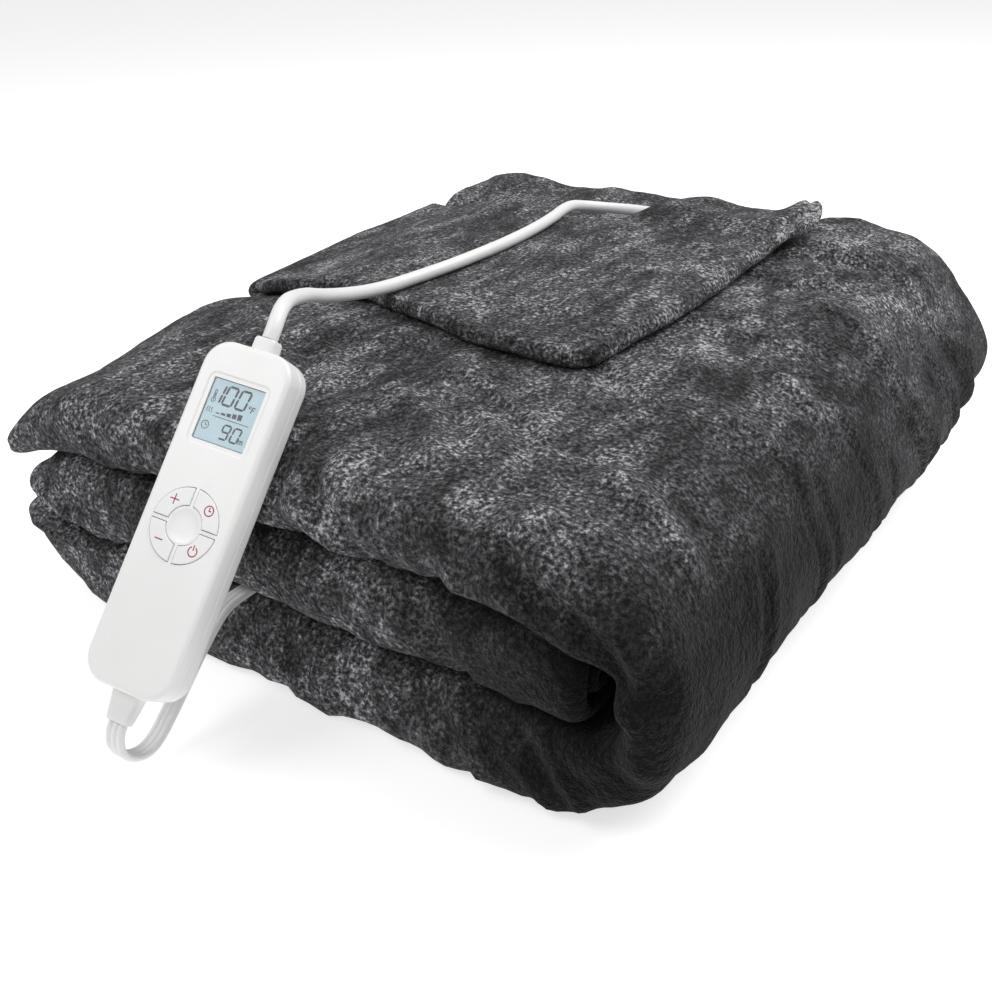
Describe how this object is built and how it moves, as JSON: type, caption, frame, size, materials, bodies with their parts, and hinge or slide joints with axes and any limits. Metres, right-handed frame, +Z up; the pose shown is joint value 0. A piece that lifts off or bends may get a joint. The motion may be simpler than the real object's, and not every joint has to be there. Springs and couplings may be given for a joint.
{
  "type": "heated throw",
  "caption": "Folded dark grey plush heated throw with a corner turned back over its connector, a white LCD hand controller with sprung keys, a round lead, and a flat supply lead with plug.",
  "frame": {"origin": "on the surface the throw rests on, under the middle of the folded block", "axes": "+Z up, +Y from the closed folds at the front to the hems at the back, +X towards the wide outer turn of the roll"},
  "size_m": [0.388, 0.6704, 0.1739],
  "materials": {
    "plush": "dark grey velvet-napped plush, mottled where the pile is crushed",
    "backing": "dark grey plush, the same as the face",
    "wire_coat": "insulated heating wire",
    "white_shell": "white moulded ABS, satin gloss",
    "white_key": "white keys with dark red symbols",
    "white_boot": "white flexible PVC",
    "white_lead": "white PVC jacket",
    "clear_lens": "clear glossy window",
    "lcd_face": "pale blue-grey liquid crystal display with dark segments",
    "pale_plastic": "natural moulded plastic",
    "board": "green circuit board",
    "black_part": "black moulded plastic",
    "capacitor_case": "yellow film capacitor case",
    "steel": "zinc-plated steel screw",
    "brass": "bare brass contacts"
  },
  "bodies": {
    "root": {"back_shell": "white_shell", "backing_fabric": "backing", "backlight": "pale_plastic", "capacitor": "capacitor_case", "case_screw_1": "steel", "case_screw_2": "steel", "case_screw_3": "steel", "case_screw_4": "steel", "circuit_board": "board", "coil_tie": "black_part", "connector_body": "white_shell", "connector_boot": "white_boot", "display_window": "clear_lens", "face_fabric": "plush", "front_shell": "white_shell", "fuse": "clear_lens", "heating_wire": "wire_coat", "inlet_body": "white_shell", "inlet_pin_back": "brass", "inlet_pin_front": "brass", "lcd_glass": "lcd_face", "lcd_holder": "pale_plastic", "microcontroller": "black_part", "output_boot": "white_boot", "output_clamp": "pale_plastic", "output_lead": "white_lead", "plug_blade_back": "brass", "plug_blade_front": "brass", "plug_body": "white_shell", "plug_boot": "white_boot", "supply_boot": "white_boot", "supply_clamp": "pale_plastic", "supply_coil": "white_lead", "supply_lead": "white_lead", "supply_loop": "white_lead", "supply_tail": "white_lead", "switch_body_minus": "black_part", "switch_body_plus": "black_part", "switch_body_power": "black_part", "switch_body_timer": "black_part", "triac": "black_part"},
    "timer_key": {"key_timer": "white_key", "switch_stem_timer": "pale_plastic"},
    "plus_key": {"key_plus": "white_key", "switch_stem_plus": "pale_plastic"},
    "minus_key": {"key_minus": "white_key", "switch_stem_minus": "pale_plastic"},
    "power_key": {"key_power": "white_key", "switch_stem_power": "pale_plastic"}
  },
  "joints": [
    {"name": "timer_press", "type": "slide", "parent": "root", "child": "timer_key", "axis": [-0.182, 0.7464, -0.6401], "range_m": [0, 0.0005], "stiffness_N_per_m": 2500},
    {"name": "plus_press", "type": "slide", "parent": "root", "child": "plus_key", "axis": [-0.182, 0.7464, -0.6401], "range_m": [0, 0.0005], "stiffness_N_per_m": 2500},
    {"name": "minus_press", "type": "slide", "parent": "root", "child": "minus_key", "axis": [-0.182, 0.7464, -0.6401], "range_m": [0, 0.0005], "stiffness_N_per_m": 2500},
    {"name": "power_press", "type": "slide", "parent": "root", "child": "power_key", "axis": [-0.182, 0.7464, -0.6401], "range_m": [0, 0.0005], "stiffness_N_per_m": 2500}
  ]
}
